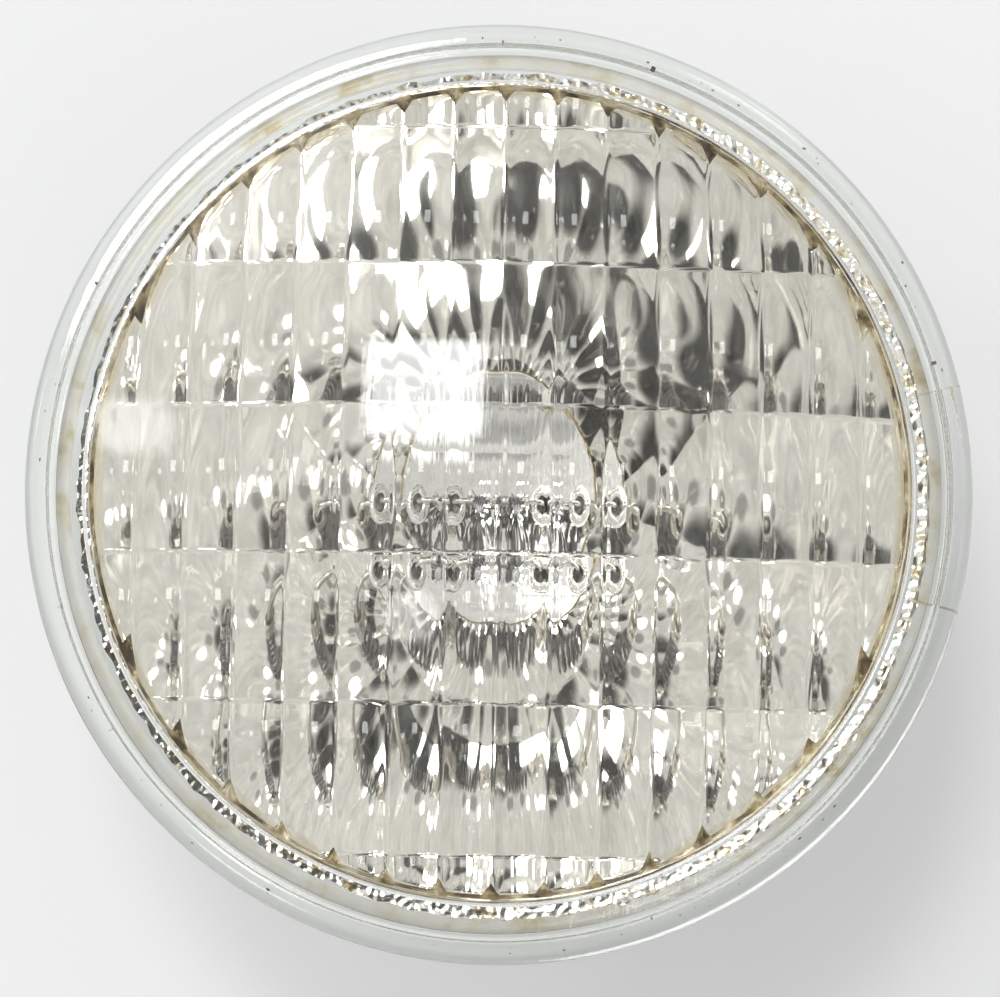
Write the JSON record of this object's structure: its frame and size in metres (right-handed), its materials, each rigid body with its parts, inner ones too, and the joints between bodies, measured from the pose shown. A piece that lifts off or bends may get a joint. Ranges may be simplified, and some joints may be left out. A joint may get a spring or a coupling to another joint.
{
  "type": "underwater pool light",
  "caption": "Round all-glass sealed-beam pool lamp: fluted clear lens cemented to an aluminised glass reflector, with a coiled filament inside and screw terminals on its back.",
  "frame": {"origin": "centre of the joint between the lens and the reflector, where the fixture's ring clamps the flange", "axes": "+Z along the optical axis, out through the lens; +X through the locating lug and the right-hand terminal; the lens flutes run along Y"},
  "size_m": [0.1778, 0.1778, 0.1143],
  "materials": {
    "lens_glass": "clear borosilicate, pressed, glossy",
    "reflector_glass": "clear borosilicate, pressed, glossy",
    "aluminised_film": "vacuum-deposited aluminium, mirror bright, ragged at its rim",
    "amber_adhesive": "translucent amber, uneven edge",
    "ferrule_metal": "nickel-iron, satin",
    "solder": "dull bright solder",
    "post_metal": "drawn nickel wire",
    "tungsten": "drawn tungsten, dark satin",
    "terminal_brass": "stamped brass strip, satin",
    "plated_steel": "zinc or nickel plated, satin"
  },
  "bodies": {
    "lamp": {"lens": "lens_glass", "reflector": "reflector_glass", "exhaust_tube": "reflector_glass", "mirror_coating": "aluminised_film", "seal_ring": "amber_adhesive", "filament": "tungsten", "ferrule_left": "ferrule_metal", "ferrule_solder_left": "solder", "lead_post_left": "post_metal", "filament_clamp_left": "post_metal", "terminal_bracket_left": "terminal_brass", "terminal_nut_left": "plated_steel", "ferrule_right": "ferrule_metal", "ferrule_solder_right": "solder", "lead_post_right": "post_metal", "filament_clamp_right": "post_metal", "terminal_bracket_right": "terminal_brass", "terminal_nut_right": "plated_steel"},
    "left_washer": {"clamp_washer_left": "plated_steel"},
    "left_screw": {"terminal_screw_left": "plated_steel"},
    "right_washer": {"clamp_washer_right": "plated_steel"},
    "right_screw": {"terminal_screw_right": "plated_steel"}
  },
  "joints": [
    {"name": "left_screw_travel", "type": "slide", "parent": "lamp", "child": "left_washer", "axis": [0, 0, -1], "range_m": [0, 0.00317]},
    {"name": "left_screw_turn", "type": "hinge", "parent": "left_washer", "child": "left_screw", "pos_m": [-0.03, 0, -0.0948], "axis": [0, 0, -1], "range_deg": [0, 1440]},
    {"name": "right_screw_travel", "type": "slide", "parent": "lamp", "child": "right_washer", "axis": [0, 0, -1], "range_m": [0, 0.00317]},
    {"name": "right_screw_turn", "type": "hinge", "parent": "right_washer", "child": "right_screw", "pos_m": [0.03, 0, -0.0948], "axis": [0, 0, -1], "range_deg": [0, 1440]}
  ],
  "couplings": [
    {"joint": "left_screw_turn", "follows": "left_screw_travel", "rad_per_m": 7913.3},
    {"joint": "right_screw_turn", "follows": "right_screw_travel", "rad_per_m": 7913.3}
  ]
}
